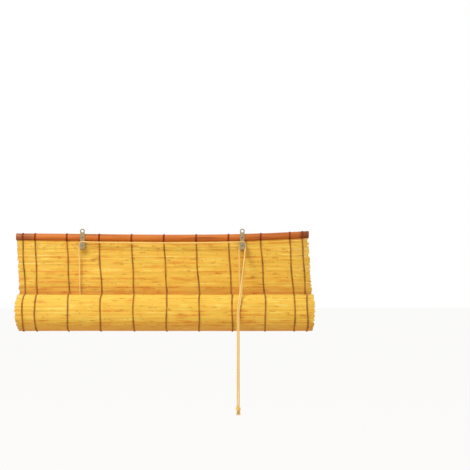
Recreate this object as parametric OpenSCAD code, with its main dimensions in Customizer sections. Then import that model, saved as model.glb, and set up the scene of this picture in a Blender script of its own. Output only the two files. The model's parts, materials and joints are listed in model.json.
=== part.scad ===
// Bamboo roll up blind, hung by two eyes and partly rolled up.
// The origin lies midway between the two eyes, on the back face of their straps.
// X runs along the blind, Y points to the wall behind it and Z points up.

/* [Mat] */
// Length of every reed, which is the width of the mat
mat_width = 900; // [760:10:1400]
// Diameter of one reed
reed_d = 4.2; // [3.4:0.1:5.4]
// Depth that neighbouring reeds share, where the wall joins them
reed_lap = 0.2; // [0.1:0.05:0.4]
// Drop of the hanging mat, from the head rail to the axis of the roll
hanging_drop = 217; // [190:1:300]
// Outside diameter of the roll
roll_d = 115; // [100:1:140]
// Room between one turn of the roll and the next
turn_gap = 1; // [0.6:0.1:2]
// Sideways run of the mat over its drop, because it hangs askew
roll_shift = 12; // [-20:1:20]
// Most that the end of a reed stands out from its neighbours
ragged = 1.5; // [0:0.1:3]
// Height of the slits that let light through between reeds
slit_h = 0.9; // [0.5:0.1:1.4]
// Solid length of the reeds at each end of a slit, next to a warp
slit_margin = 7; // [5:1:12]

/* [Warp threads] */
// Width of a warp thread
warp_w = 2.2; // [1.2:0.1:3.5]
// Thickness of a warp thread
warp_t = 0.9; // [0.5:0.1:1.3]
// Width of the lashing that each warp makes round the head rail
lashing_w = 5; // [3:0.5:6]
// Distance between the warps across the middle of the mat
warp_pitch = 100; // [90:1:105]
// Number of warps across the middle of the mat
middle_warps = 7; // [5:2:7]
// Distance of the middle warp from the middle of the mat
middle_shift = 4; // [-8:1:8]
// Distance from the end of the reeds to the outer warp
edge_margin = 18; // [10:1:25]
// Distance between the two warps of the pair at each side
edge_pair_gap = 38; // [25:1:45]

/* [Rails] */
// Height of the half-round head and bottom rails
rail_d = 22; // [18:1:28]
// Length of the head rail beyond each end of the mat
rail_overhang = 3; // [0:0.5:12]

/* [Pulley fittings] */
// Distance between the two hanging eyes
eye_spacing = 494; // [440:1:520]
// Diameter of the hole in a hanging eye
eye_hole_d = 8; // [5:0.5:9]
// Outside diameter of a hanging eye
eye_d = 15; // [13:0.5:18]
// Room between a hanging eye and the top of the head rail
eye_lift = 1; // [0.5:0.5:6]
// Width of the strap in front of the head rail
strap_w = 14; // [12:0.5:18]
// Thickness of the strap
strap_t = 1.6; // [1:0.1:2]
// Width of the cheeks that hold a sheave
cheek_w = 11; // [9:0.5:12]
// Room between the head rail and the top of a sheave
sheave_drop = 3; // [2:0.5:8]
// Outside diameter of a sheave
sheave_d = 19; // [17:0.5:20]
// Diameter of a sheave at the bottom of its groove
groove_d = 14; // [12:0.5:14]
// Width of a sheave
sheave_w = 6.5; // [6:0.1:7]
// Diameter of the rivet that a sheave turns on
axle_d = 4; // [3:0.1:5]
// Diameter of a rivet's front head
axle_head_d = 7; // [6:0.5:9]
// Height of a rivet's front head
axle_head_h = 1.6; // [1:0.1:2.5]
// Diameter of the screw that holds a strap to the head rail
screw_d = 3.2; // [2.5:0.1:4]
// Diameter of the screw's head
screw_head_d = 6.4; // [5.5:0.1:9]
// Height of the screw's head
screw_head_h = 1.8; // [1.2:0.1:3]
// Length of the screw below its head
screw_length = 9; // [7:0.5:10]

/* [Cords] */
// Diameter of a cord
cord_d = 4.4; // [3.5:0.1:4.6]
// Diameter of the knot that ends the pull cords
knot_d = 15; // [13:0.5:20]
// Length of the loose ends below the knot
knot_ends = 16; // [8:1:30]

/* [Fits] */
// Room between pieces that lie on each other
seat_gap = 0.2; // [0.1:0.05:0.3]
// Side play between a sheave and what is beside it
side_play = 0.3; // [0.2:0.05:0.5]
// Least room between a strap and the lashing of a warp
strap_clear = 2; // [1:0.5:5]
// Radial room of a turning or pushed-in pin
pin_gap = 0.05; // [0.02:0.01:0.1]

/* [Hidden] */
$fn = 48;
eps = 0.01;

// Head rail, its crest just behind the straps
rail_r = rail_d / 2;
rail_length = mat_width + 2 * rail_overhang;
rail_top_z = -eye_d / 2 - eye_lift;
rail_mid_z = rail_top_z - rail_r;
rail_bottom_z = rail_top_z - rail_d;
rail_back_y = seat_gap + rail_r;

// Hanging mat, its back level with the back of the rail
reed_r = reed_d / 2;
mat_y = rail_back_y - reed_r;
lashing_depth = 2 * seat_gap + warp_t;
mat_top_z = rail_bottom_z - lashing_depth;
roll_axis_z = rail_bottom_z - hanging_drop;
mat_fall = mat_top_z - roll_axis_z - seat_gap;
hanging_reeds = ceil(mat_fall / (reed_d - reed_lap));
reed_pitch = (mat_fall - reed_d) / (hanging_reeds - 1);
scatter_angle = 137;

// Roll, whose outer turn carries on from the hanging mat
turn_pitch = reed_d + turn_gap;
outer_mid_r = roll_d / 2 - reed_r;
roll_axis_y = mat_y - outer_mid_r;
core_r = norm([rail_r, rail_r / 2]) + seat_gap;
roll_angle = 360 * (outer_mid_r - core_r - reed_r) / turn_pitch;
reed_angle = 360 * reed_pitch / (2 * PI * outer_mid_r);
ridged_angle = 390;
ridged_reeds = ceil(ridged_angle / reed_angle);
turn_step = 8;

// Warps, seen from the front, left to right, each beside a strap that it would otherwise run under
left_x = -eye_spacing / 2;
right_x = eye_spacing / 2;
strap_room = (strap_w + lashing_w) / 2 + strap_clear;
warp_half_span = mat_width / 2 - edge_margin;
middle_span = (middle_warps - 1) * warp_pitch;
left_warps = [-warp_half_span, edge_pair_gap - warp_half_span];
middle_row = [for (i = [0 : middle_warps - 1]) middle_shift + i * warp_pitch - middle_span / 2];
right_warps = [warp_half_span - edge_pair_gap, warp_half_span];
warp_x = [for (x = concat(left_warps, middle_row, right_warps)) beside(right_x, beside(left_x, x))];
warp_count = len(warp_x);
roll_warp_start = 2;
roll_warp_end = 338;
roll_warp_step = 6;
nip_rise = 12;
slit_every = 7;

// Fittings
axle_z = rail_bottom_z - sheave_drop - sheave_d / 2;
fold_room = 0.5;
fold_z = axle_z - sheave_d / 2 - fold_room;
shoulder_z = rail_bottom_z - 1;
shoulder_run = (strap_w - cheek_w) / 2 + 1;
single_room = sheave_w + 2 * side_play;
double_room = 2 * sheave_w + 3 * side_play;
rear_sheave_y = -strap_t - side_play - sheave_w / 2;
front_sheave_y = rear_sheave_y - sheave_w - side_play;
axle_hole_d = axle_d + 2 * pin_gap;
screw_hole_d = screw_d + 2 * pin_gap;
rear_head_d = axle_d + 2;
rear_head_h = 1;
groove_round = 2.5;
driver_slot_w = 0.9;
driver_slot_h = 0.8;

// Cords: the points that their middle lines pass through
cord_r = cord_d / 2;
cord_sides = 8;
left_lift_route = [
    [-256.7, -5.2, -43], [-256.7, -5.2, -47], [-256.6, -4.8, -60], [-256.2, -3.8, -85],
    [-255.8, -2.6, -115], [-255.2, -1, -145], [-254.6, 1, -175], [-254.1, 2.8, -200], [-254, 4.2, -222]
];
right_lift_route = [
    [237.3, -5.2, -43], [237.3, -5.2, -47], [237.4, -4.8, -60], [237.8, -3.8, -85],
    [238.2, -2.6, -115], [238.8, -1, -145], [239.4, 1, -175], [239.9, 2.8, -200], [240, 4.2, -222]
];
cross_route = [
    [-256.7, -5.2, -43], [-256.7, -5.2, -42], [-255.4, -5.2, -38.2], [-251.9, -5.2, -34.6],
    [-247, -5.2, -33.3], [-236, -5.4, -33.6], [-190, -6, -35], [-125, -6.9, -36.2],
    [-60, -7.8, -36.9], [0, -8.6, -37], [60, -9.4, -36.9], [125, -10.3, -36.2], [190, -11.2, -35],
    [236, -11.8, -33.6], [247, -12, -33.3], [251.9, -12, -34.6], [255.4, -12, -38.2],
    [256.7, -12, -43], [256.4, -13.4, -52], [255, -20, -66], [253, -31.2, -88], [250, -44.8, -114],
    [246.5, -59.5, -142], [242.5, -74.8, -171], [238.5, -89.1, -198], [235, -100.3, -219],
    [232.4, -106.2, -237], [231.8, -107.3, -247], [231.8, -107.3, -249.8]
];
pull_route = [
    [237.3, -5.2, -43], [237.3, -5.2, -42], [238.6, -5.2, -38.2], [242.1, -5.2, -34.6],
    [247, -5.2, -33.3], [251.9, -5.2, -34.6], [255.4, -5.2, -38.2], [256.7, -5.2, -43],
    [256.6, -6.4, -52], [255.8, -13, -66], [254.4, -25, -88], [252.3, -39.6, -114],
    [249.6, -55.4, -142], [246.4, -71.8, -171], [243, -87.2, -198], [239.8, -99.3, -219],
    [237.2, -106.2, -237], [236.4, -107.3, -247], [236.4, -107.3, -249.8]
];
cross_tail_route = [
    [231.8, -107.3, -250], [231.8, -107.3, -320], [231.8, -107.3, -390], [231.8, -107.3, -460],
    [231.8, -107.3, -530]
];
pull_tail_route = [
    [236.4, -107.3, -250], [236.4, -107.3, -320], [236.4, -107.3, -390], [236.4, -107.3, -460],
    [236.4, -107.3, -530]
];
knot_x = 234.1;
knot_y = -107.3;
knot_top_z = -530;
knot_flat_d = 10;

// Colours
reed_colour = [0.9, 0.69, 0.27];
warp_colour = [0.29, 0.15, 0.08];
rail_colour = [0.66, 0.32, 0.14];
zinc_colour = [0.72, 0.72, 0.7];
steel_colour = [0.6, 0.6, 0.6];
cord_colour = [0.95, 0.86, 0.62];

warp_names = [for (i = [1 : warp_count]) str("warp_", i)];
roll_warp_names = [for (i = [1 : warp_count]) str("roll_warp_", i)];

// Runs a profile drawn in Y and Z along X, from start
module along_x(start, length) {
    translate([start, 0, 0])
        rotate([90, 0, 90])
            linear_extrude(length)
                children();
}

// Runs a profile drawn in X and Z along Y, from its front face back
module along_y(front, depth) {
    translate([0, front + depth, 0])
        rotate([90, 0, 0])
            linear_extrude(depth)
                children();
}

// Place of a warp next to a strap
function beside(strap_x, x) =
    abs(x - strap_x) >= strap_room ? x : strap_x + (x < strap_x ? -strap_room : strap_room);

// Section of a half-round rail, flat side on the Z line and grown by a margin
module half_round(margin) {
    intersection() {
        circle(r = rail_r + margin);
        translate([-rail_d, -rail_d])
            square([rail_d + margin, 2 * rail_d]);
    }
}

// Middle line of the rolled mat, by the angle that it has turned from the back of the roll
function turn_r(angle) = outer_mid_r - turn_pitch * angle / 360;
function turn_point(angle, out) = (turn_r(angle) + out) * [cos(angle), -sin(angle)];

// Height of a round reed above its middle line, by the share of a pitch from its crest
function ridge(share) = sqrt(max(0, reed_r * reed_r - pow(share * reed_pitch, 2)));

// A tube along a route, with a ring of points at every point of it
function unit(v) = v / norm(v);
function heading(route, i) = unit(route[min(i + 1, len(route) - 1)] - route[max(i - 1, 0)]);
function across(dir) = unit(cross(abs(dir.y) > 0.9 ? [0, 0, 1] : [0, 1, 0], dir));
function ring(route, i) =
    let (dir = heading(route, i), side = across(dir), up = cross(dir, side))
    [for (k = [0 : cord_sides - 1])
        route[i] + cord_r * (cos(360 * k / cord_sides) * side + sin(360 * k / cord_sides) * up)];

module tube(route) {
    rings = len(route);
    points = [for (i = [0 : rings - 1]) each ring(route, i)];
    walls = [for (i = [0 : rings - 2], k = [0 : cord_sides - 1])
        let (a = i * cord_sides, next = (k + 1) % cord_sides)
        [a + k, a + cord_sides + k, a + cord_sides + next, a + next]];
    first = [for (k = [0 : cord_sides - 1]) k];
    last = [for (k = [cord_sides - 1 : -1 : 0]) (rings - 1) * cord_sides + k];
    color(cord_colour)
        polyhedron(points, concat([first, last], walls));
}

module head_rail() {
    color(rail_colour)
        difference() {
            translate([0, rail_back_y, rail_mid_z])
                along_x(-rail_length / 2, rail_length)
                    half_round(0);
            for (x = [left_x, right_x])
                translate([x, 0, rail_mid_z])
                    along_y(0, screw_length + pin_gap - strap_t)
                        circle(d = screw_hole_d);
        }
}

module bottom_rail() {
    color(rail_colour)
        translate([roll_shift, roll_axis_y, roll_axis_z])
            rotate([-roll_angle, 0, 0])
                rotate([-atan2(rail_r, rail_r / 2), 0, 0])
                    translate([0, rail_r / 2, 0])
                        along_x(-mat_width / 2, mat_width)
                            half_round(0);
}

// Height of a reed in the hanging mat, and how far the mat has run sideways there
function reed_z(i) = mat_top_z - reed_r - i * reed_pitch;
function lean(z) = roll_shift * (mat_top_z - z) / (mat_top_z - roll_axis_z);

module mat_panel() {
    color(reed_colour)
        difference() {
            for (i = [0 : hanging_reeds - 1])
                along_x(lean(reed_z(i)) + ragged * sin(scatter_angle * i) - mat_width / 2, mat_width)
                    translate([mat_y, reed_z(i)])
                        circle(d = reed_d);
            for (i = [1 : hanging_reeds - 1], j = [0 : warp_count - 2])
                if ((3 * i + 5 * j) % slit_every == 0)
                    slit(reed_z(i - 0.5), warp_x[j], warp_x[j + 1]);
        }
}

// A gap between two reeds, from near one warp to near the next
module slit(z, from_x, to_x) {
    translate([lean(z) + from_x + slit_margin, mat_y - reed_d, z - slit_h / 2])
        cube([to_x - from_x - 2 * slit_margin, 2 * reed_d, slit_h]);
}

module mat_roll() {
    ridged_end = ridged_reeds * reed_angle;
    ridges = [for (i = [0 : ridged_reeds - 1], share = [-0.5 : 0.25 : 0.25])
        turn_point((i + 0.5 + share) * reed_angle, ridge(share))];
    plain_out = [for (angle = [ridged_end : turn_step : roll_angle]) turn_point(angle, reed_r)];
    plain_in = [for (angle = [roll_angle : -turn_step : 0]) turn_point(angle, -reed_r)];
    end = [turn_point(roll_angle, reed_r)];
    start = [turn_point(0, -reed_r)];
    color(reed_colour)
        translate([roll_shift, roll_axis_y, roll_axis_z])
            along_x(-mat_width / 2, mat_width)
                polygon(concat(ridges, plain_out, end, plain_in, start));
}

// A warp is lashed round the head rail and runs down both faces of the hanging mat
module warp(x) {
    thread_off = reed_r + seat_gap;
    color(warp_colour)
        translate([x, 0, 0]) {
            translate([0, rail_back_y, rail_mid_z])
                along_x(-lashing_w / 2, lashing_w)
                    difference() {
                        half_round(seat_gap + warp_t);
                        half_round(seat_gap);
                    }
            along_y(mat_y - thread_off - warp_t, warp_t)
                strand(roll_axis_z + nip_rise);
            along_y(mat_y + thread_off, warp_t)
                strand(roll_axis_z + seat_gap);
        }
}

// Outline of a warp's thread, which leans with the mat
module strand(bottom_z) {
    half = warp_w / 2;
    run = lean(bottom_z);
    polygon([[-half, rail_bottom_z], [half, rail_bottom_z], [run + half, bottom_z], [run - half, bottom_z]]);
}

// A warp goes round the outer turn of the roll, from its back into the nip
module roll_warp(x) {
    angles = [for (angle = [roll_warp_start : roll_warp_step : roll_warp_end]) angle];
    last = len(angles) - 1;
    inner = [for (i = [0 : last]) turn_point(angles[i], reed_r + seat_gap)];
    outer = [for (i = [last : -1 : 0]) turn_point(angles[i], reed_r + seat_gap + warp_t)];
    color(warp_colour)
        translate([roll_shift + x, roll_axis_y, roll_axis_z])
            along_x(-warp_w / 2, warp_w)
                polygon(concat(inner, outer));
}

// Strap with a hanging eye above the rail, folded under the sheaves into two cheeks
module bracket(x, room) {
    half_strap = strap_w / 2;
    half_cheek = cheek_w / 2;
    bend_r = room / 2;
    color(zinc_colour)
        translate([x, 0, 0]) {
            along_y(-strap_t, strap_t)
                difference() {
                    union() {
                        circle(d = eye_d);
                        polygon([
                            [-half_strap, 0], [half_strap, 0], [half_strap, shoulder_z],
                            [half_cheek, shoulder_z - shoulder_run], [half_cheek, fold_z],
                            [-half_cheek, fold_z], [-half_cheek, shoulder_z - shoulder_run],
                            [-half_strap, shoulder_z]
                        ]);
                    }
                    circle(d = eye_hole_d);
                    translate([0, rail_mid_z])
                        circle(d = screw_hole_d);
                    translate([0, axle_z])
                        circle(d = axle_hole_d);
                }
            along_x(-half_cheek, cheek_w)
                translate([-strap_t - bend_r, fold_z])
                    difference() {
                        circle(r = bend_r + strap_t);
                        circle(r = bend_r);
                        translate([-2 * bend_r - strap_t, 0])
                            square([2 * (2 * bend_r + strap_t), 2 * bend_r + strap_t]);
                    }
            along_y(-2 * strap_t - room, strap_t)
                difference() {
                    union() {
                        translate([0, axle_z])
                            circle(d = cheek_w);
                        translate([-half_cheek, fold_z])
                            square([cheek_w, axle_z - fold_z]);
                    }
                    translate([0, axle_z])
                        circle(d = axle_hole_d);
                }
        }
}

// Domed head on the front of a round pin
module domed_head(head_d, head_h) {
    dome_r = (head_d * head_d / 4 + head_h * head_h) / (2 * head_h);
    rotate_extrude()
        intersection() {
            square([head_d / 2, head_h]);
            translate([0, head_h - dome_r])
                circle(r = dome_r);
        }
}

// Rivet through both cheeks, with a domed head in front and a flat one behind
module axle(x, room) {
    length = room + 2 * strap_t;
    color(steel_colour)
        translate([x, 0, axle_z])
            rotate([90, 0, 0]) {
                cylinder(d = axle_d, h = length);
                translate([0, 0, -rear_head_h])
                    cylinder(d = rear_head_d, h = rear_head_h);
                translate([0, 0, length])
                    domed_head(axle_head_d, axle_head_h);
            }
}

// Slotted screw through a strap into the head rail
module strap_screw(x) {
    color(steel_colour)
        translate([x, -strap_t, rail_mid_z])
            rotate([90, 0, 0])
                difference() {
                    union() {
                        translate([0, 0, -screw_length])
                            cylinder(d = screw_d, h = screw_length + eps);
                        domed_head(screw_head_d, screw_head_h);
                    }
                    translate([-screw_head_d, -driver_slot_w / 2, screw_head_h - driver_slot_h])
                        cube([2 * screw_head_d, driver_slot_w, screw_head_h]);
                }
}

// Grooved wheel that a cord runs over
module sheave(x, y) {
    color(zinc_colour)
        translate([x, y, axle_z])
            rotate([90, 0, 0])
                rotate_extrude()
                    difference() {
                        translate([axle_hole_d / 2, -sheave_w / 2])
                            square([(sheave_d - axle_hole_d) / 2, sheave_w]);
                        translate([groove_d / 2 + groove_round, 0])
                            circle(r = groove_round);
                    }
}

module cord_knot() {
    flat_z = sqrt(knot_d * knot_d - knot_flat_d * knot_flat_d) / 2;
    color(cord_colour)
        translate([knot_x, knot_y, knot_top_z - flat_z]) {
            rotate_extrude()
                intersection() {
                    circle(d = knot_d);
                    translate([0, -knot_d])
                        square([knot_d, knot_d + flat_z]);
                }
            for (side = [-1, 1])
                translate([side * (cord_r + seat_gap), 0, -knot_d / 2 - knot_ends])
                    cylinder(d = cord_d, h = knot_ends + knot_d / 2);
        }
}

head_rail();
bottom_rail();
mat_panel();
mat_roll();
for (i = [0 : warp_count - 1]) {
    warp(warp_x[i]);
    roll_warp(warp_x[i]);
}
bracket(left_x, single_room);  // left_bracket
bracket(right_x, double_room);  // right_bracket
axle(left_x, single_room);  // left_axle
axle(right_x, double_room);  // right_axle
strap_screw(left_x);  // left_screw
strap_screw(right_x);  // right_screw
sheave(left_x, rear_sheave_y);  // left_sheave
sheave(right_x, rear_sheave_y);  // right_rear_sheave
sheave(right_x, front_sheave_y);  // right_front_sheave
tube(left_lift_route);  // left_lift_cord
tube(right_lift_route);  // right_lift_cord
tube(cross_route);  // cross_cord
tube(pull_route);  // pull_cord
tube(cross_tail_route);  // cross_cord_tail
tube(pull_tail_route);  // pull_cord_tail
cord_knot();
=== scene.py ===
"""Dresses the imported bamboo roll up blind: reeds, threads, cords, wood, fittings and the stage."""
import json
import math
import random

import bmesh
import bpy
from bpy.props import FloatProperty, FloatVectorProperty, IntProperty, PointerProperty
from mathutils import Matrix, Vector


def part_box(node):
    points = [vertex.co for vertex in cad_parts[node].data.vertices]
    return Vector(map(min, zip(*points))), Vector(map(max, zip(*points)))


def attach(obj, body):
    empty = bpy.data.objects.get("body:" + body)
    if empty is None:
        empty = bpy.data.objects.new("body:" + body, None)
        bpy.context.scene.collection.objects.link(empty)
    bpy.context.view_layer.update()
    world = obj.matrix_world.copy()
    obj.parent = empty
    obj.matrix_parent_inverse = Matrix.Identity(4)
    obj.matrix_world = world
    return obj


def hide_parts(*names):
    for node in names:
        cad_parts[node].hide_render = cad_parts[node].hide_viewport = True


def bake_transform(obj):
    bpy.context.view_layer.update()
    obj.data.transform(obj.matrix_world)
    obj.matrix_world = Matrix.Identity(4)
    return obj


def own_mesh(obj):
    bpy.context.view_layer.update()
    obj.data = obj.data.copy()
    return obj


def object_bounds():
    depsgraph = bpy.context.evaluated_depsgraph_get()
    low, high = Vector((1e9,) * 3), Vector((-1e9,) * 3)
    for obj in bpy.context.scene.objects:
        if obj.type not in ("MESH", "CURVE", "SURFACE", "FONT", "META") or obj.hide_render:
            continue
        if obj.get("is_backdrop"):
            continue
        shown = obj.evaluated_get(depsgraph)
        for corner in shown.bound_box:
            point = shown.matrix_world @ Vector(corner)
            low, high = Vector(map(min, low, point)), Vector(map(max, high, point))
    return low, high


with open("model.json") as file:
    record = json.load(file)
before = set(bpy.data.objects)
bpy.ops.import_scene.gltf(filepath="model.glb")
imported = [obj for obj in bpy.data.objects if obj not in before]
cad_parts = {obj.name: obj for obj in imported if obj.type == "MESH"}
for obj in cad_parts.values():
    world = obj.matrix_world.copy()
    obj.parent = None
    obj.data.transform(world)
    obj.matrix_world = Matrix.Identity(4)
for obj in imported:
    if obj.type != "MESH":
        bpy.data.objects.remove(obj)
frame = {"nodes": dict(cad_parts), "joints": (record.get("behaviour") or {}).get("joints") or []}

bl_info = {
    "name": "Bamboo roll up blind",
    "version": (1, 0, 0),
    "blender": (4, 5, 0),
    "location": "3D View > Sidebar > Blind",
    "description": "Builds the reeds, threads, cords and finishes of a bamboo roll up blind",
    "category": "Object",
}

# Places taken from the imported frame, in metres
CAD_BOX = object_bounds()
RAIL_LOW, RAIL_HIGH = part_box("head_rail")
RAIL_RADIUS = (RAIL_HIGH.z - RAIL_LOW.z) / 2
RAIL_MID_Z = (RAIL_HIGH.z + RAIL_LOW.z) / 2
JOINTS = {joint["name"]: joint for joint in frame["joints"]}
ROLL_AXIS = Vector(JOINTS["roll_turn"]["pos_m"])

# Shapes that the frame does not hold, as the part's source has them
WARP_COUNT = 11
EYE_X = 0.247
REED_D = 0.0042
REED_PITCH = 0.003987
HANGING_REEDS = 54
MAT_Y = 0.0091
MAT_TOP = -0.0318
HALF_WIDTH = 0.450
OUTER_RADIUS = MAT_Y - ROLL_AXIS.y
KNOT_TOP = Vector((0.2341, -0.1073, -0.530))

# How the mat is wound: the inner turns have room to turn inside the outer one
TURN_PITCH = 0.0052
ROLL_TURNS = 7.85
TURN_ROOM = 0.0023
INNER_PITCH = TURN_PITCH - TURN_ROOM / (ROLL_TURNS - 1)

# Heights between which painted shade grows on the hanging mat, just above the roll
PAINTED_SHADE_TOP = -0.155
PAINTED_SHADE_BLEND = 0.040

# Numbers of sides round a tube
CORD_SIDES = 12
FIBRE_SIDES = 5
HANGING_REED_SIDES = 7
ROLLED_REED_SIDES = 6
WARP_SIDES = 5
LASHING_SIDES = 6

# Angles in degrees above which an edge of a piece stays sharp
ROUND_SHARP = 80
REED_SHARP = 65
RAIL_SHARP = 35

# Small lengths, and the white of the surround
MILLIMETRE = 0.001
WELD = 0.00002
WHITE = (1.0, 1.0, 1.0, 1.0)

# Routes of the cords in millimetres, from the part's source; the pull strands run on into the knot
LEFT_LIFT_ROUTE = [
    (-256.7, -5.2, -43), (-256.7, -5.2, -47), (-256.6, -4.8, -60), (-256.2, -3.8, -85),
    (-255.8, -2.6, -115), (-255.2, -1, -145), (-254.6, 1, -175), (-254.1, 2.8, -200),
    (-254, 4.2, -222),
]
RIGHT_LIFT_ROUTE = [
    (237.3, -5.2, -43), (237.3, -5.2, -47), (237.4, -4.8, -60), (237.8, -3.8, -85),
    (238.2, -2.6, -115), (238.8, -1, -145), (239.4, 1, -175), (239.9, 2.8, -200),
    (240, 4.2, -222),
]
CROSS_ROUTE = [
    (-256.7, -5.2, -43), (-256.7, -5.2, -42), (-255.4, -5.2, -38.2), (-251.9, -5.2, -34.6),
    (-247, -5.2, -33.3), (-236, -5.4, -33.6), (-190, -6, -35), (-125, -6.9, -36.2),
    (-60, -7.8, -36.9), (0, -8.6, -37), (60, -9.4, -36.9), (125, -10.3, -36.2),
    (190, -11.2, -35), (236, -11.8, -33.6), (247, -12, -33.3), (251.9, -12, -34.6),
    (255.4, -12, -38.2), (256.7, -12, -43), (256.4, -13.4, -52), (255, -20, -66),
    (253, -31.2, -88), (250, -44.8, -114), (246.5, -59.5, -142), (242.5, -74.8, -171),
    (238.5, -89.1, -198), (235, -100.3, -219), (232.4, -106.2, -237), (231.8, -107.3, -247),
    (231.8, -107.3, -249.8), (231.8, -107.3, -320), (231.8, -107.3, -390),
    (231.8, -107.3, -460), (231.8, -107.3, -530), (232.2, -107.3, -540),
]
PULL_ROUTE = [
    (237.3, -5.2, -43), (237.3, -5.2, -42), (238.6, -5.2, -38.2), (242.1, -5.2, -34.6),
    (247, -5.2, -33.3), (251.9, -5.2, -34.6), (255.4, -5.2, -38.2), (256.7, -5.2, -43),
    (256.6, -6.4, -52), (255.8, -13, -66), (254.4, -25, -88), (252.3, -39.6, -114),
    (249.6, -55.4, -142), (246.4, -71.8, -171), (243, -87.2, -198), (239.8, -99.3, -219),
    (237.2, -106.2, -237), (236.4, -107.3, -247), (236.4, -107.3, -249.8),
    (236.4, -107.3, -320), (236.4, -107.3, -390), (236.4, -107.3, -460), (236.4, -107.3, -530),
    (236.0, -107.3, -540),
]


def length_setting(name, description, default):
    """A length that a user can change."""
    return FloatProperty(name=name, description=description, default=default, unit="LENGTH", precision=5)


def colour_setting(name, description, default):
    """A colour that a user can change, written as it looks on a screen."""
    return FloatVectorProperty(
        name=name, description=description, default=default, subtype="COLOR_GAMMA", size=3, min=0, max=1
    )


class MatSettings(bpy.types.PropertyGroup):
    """The woven reeds."""

    seed: IntProperty(name="Seed", description="Start of the chance in the reeds", default=11)
    thick: FloatProperty(name="Thick reed", description="Thickest reed over the nominal", default=1.09)
    thin: FloatProperty(name="Thin reed", description="Thinnest reed over the nominal", default=1.02)
    wander: length_setting("Wander", "How far a reed bends off its straight line", 0.0003)
    ragged: length_setting("Ragged ends", "How far the reed ends differ", 0.0022)
    tuck: length_setting("Tuck", "How much shorter the reeds under the roll are", 0.004)
    jut: length_setting("Jut", "How much longer the reeds at the front of the roll are", 0.004)
    sag: length_setting("Sag", "How far the outer turn hangs below the roll", 0.002)
    widen: FloatProperty(
        name="Widen", description="How much wider the mat is at its foot", default=0.006
    )
    # Strength of the painted shade: a warm darker colour painted on the reeds just above the roll and on
    # the roll's underside.
    dim: FloatProperty(
        name="Dim", description="How warm the reeds are where only other reeds light them", default=0.45
    )
    pale: colour_setting("Pale reed", "The lightest straw", (0.99, 0.88, 0.43))
    gold: colour_setting("Golden reed", "The usual reed", (0.955, 0.78, 0.305))
    honey: colour_setting("Honey reed", "The darker streaks", (0.89, 0.615, 0.205))
    brown: colour_setting("Brown mark", "Short dark marks and joints", (0.70, 0.42, 0.13))
    # The colour of the painted shade on the reeds.
    painted_shade_colour: colour_setting("Warm shade", "Reeds that only other reeds light", (0.84, 0.40, 0.14))
    green: colour_setting("Green reed", "Reeds cut young", (0.91, 0.81, 0.31))
    pith: colour_setting("Pith", "The soft middle of a cut end", (0.83, 0.64, 0.34))


class ThreadSettings(bpy.types.PropertyGroup):
    """The twined warps and the lashings on the rail."""

    radius: length_setting("Thread radius", "Half the thickness of a warp thread", 0.0014)
    spread: length_setting("Thread spread", "How far the two threads swing sideways", 0.0017)
    lashing_radius: length_setting("Lashing radius", "Half the thickness of a lashing", 0.0009)
    turns: IntProperty(name="Lashing turns", description="Turns of thread round the rail", default=3)
    colour: colour_setting("Thread", "Dark brown twine", (0.71, 0.485, 0.185))
    lashing_colour: colour_setting("Lashing", "Red brown twine on the rail", (0.56, 0.25, 0.08))


class CordSettings(bpy.types.PropertyGroup):
    """The lift cords and their knot."""

    diameter: length_setting("Cord diameter", "Across a cord", 0.0044)
    lay: length_setting("Lay", "Length of one twist of the three strands", 0.016)
    step: length_setting("Step", "Length between the rings of a cord", 0.0014)
    colour: colour_setting("Cotton", "Cream cotton", (0.985, 0.85, 0.52))
    # The colour of the painted shade in the cords' grooves, also used for soiled places and fibres.
    shade: colour_setting("Cotton shade", "Cream cotton in its grooves", (0.88, 0.68, 0.34))


class WoodSettings(bpy.types.PropertyGroup):
    """The split bamboo rail."""

    bow: FloatProperty(name="Bow", description="Even bend of the rail, per metre", default=0.0365)
    skew: FloatProperty(
        name="Skew", description="Uneven bend of the rail, per square metre", default=0.0581
    )
    light: colour_setting("Light wood", "Lit grain", (0.85, 0.51, 0.20))
    red: colour_setting("Red wood", "The usual stain", (0.79, 0.435, 0.155))
    dark: colour_setting("Dark wood", "Dark grain", (0.56, 0.26, 0.08))


class MetalSettings(bpy.types.PropertyGroup):
    """The zinc brackets and steel pins."""

    zinc: colour_setting("Zinc", "Dull zinc", (0.69, 0.61, 0.46))
    dull_zinc: colour_setting("Dull zinc", "Weathered zinc", (0.63, 0.555, 0.42))
    steel: colour_setting("Steel", "Steel pins", (0.50, 0.49, 0.48))


class StageSettings(bpy.types.PropertyGroup):
    """The camera, the lamps and the floor."""

    eye: FloatVectorProperty(
        name="Camera", description="Where the camera stands", default=(0.2245, -4.79, -0.012),
        subtype="XYZ", unit="LENGTH",
    )
    lens: FloatProperty(name="Lens", description="Focal length in millimetres", default=118.7)
    key_power: FloatProperty(
        name="Key lamp", description="Power of the main lamp", default=105.0, unit="POWER"
    )
    fill_power: FloatProperty(
        name="Fill lamp", description="Power of the side lamp", default=6.0, unit="POWER"
    )
    ambient: FloatProperty(name="Ambient", description="Light from all around", default=0.55)
    floor_z: length_setting("Floor", "Height of the floor", -0.90)


def settings():
    """The settings kept in the scene."""
    return bpy.context.scene.blind


def linear(colour):
    """A screen colour as the light values that a shader takes."""
    toe = 0.04045
    toe_slope = 12.92
    lift = 0.055
    power = 2.4
    values = [c / toe_slope if c <= toe else ((c + lift) / (1 + lift)) ** power for c in colour[:3]]
    return (*values, 1.0)


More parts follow.
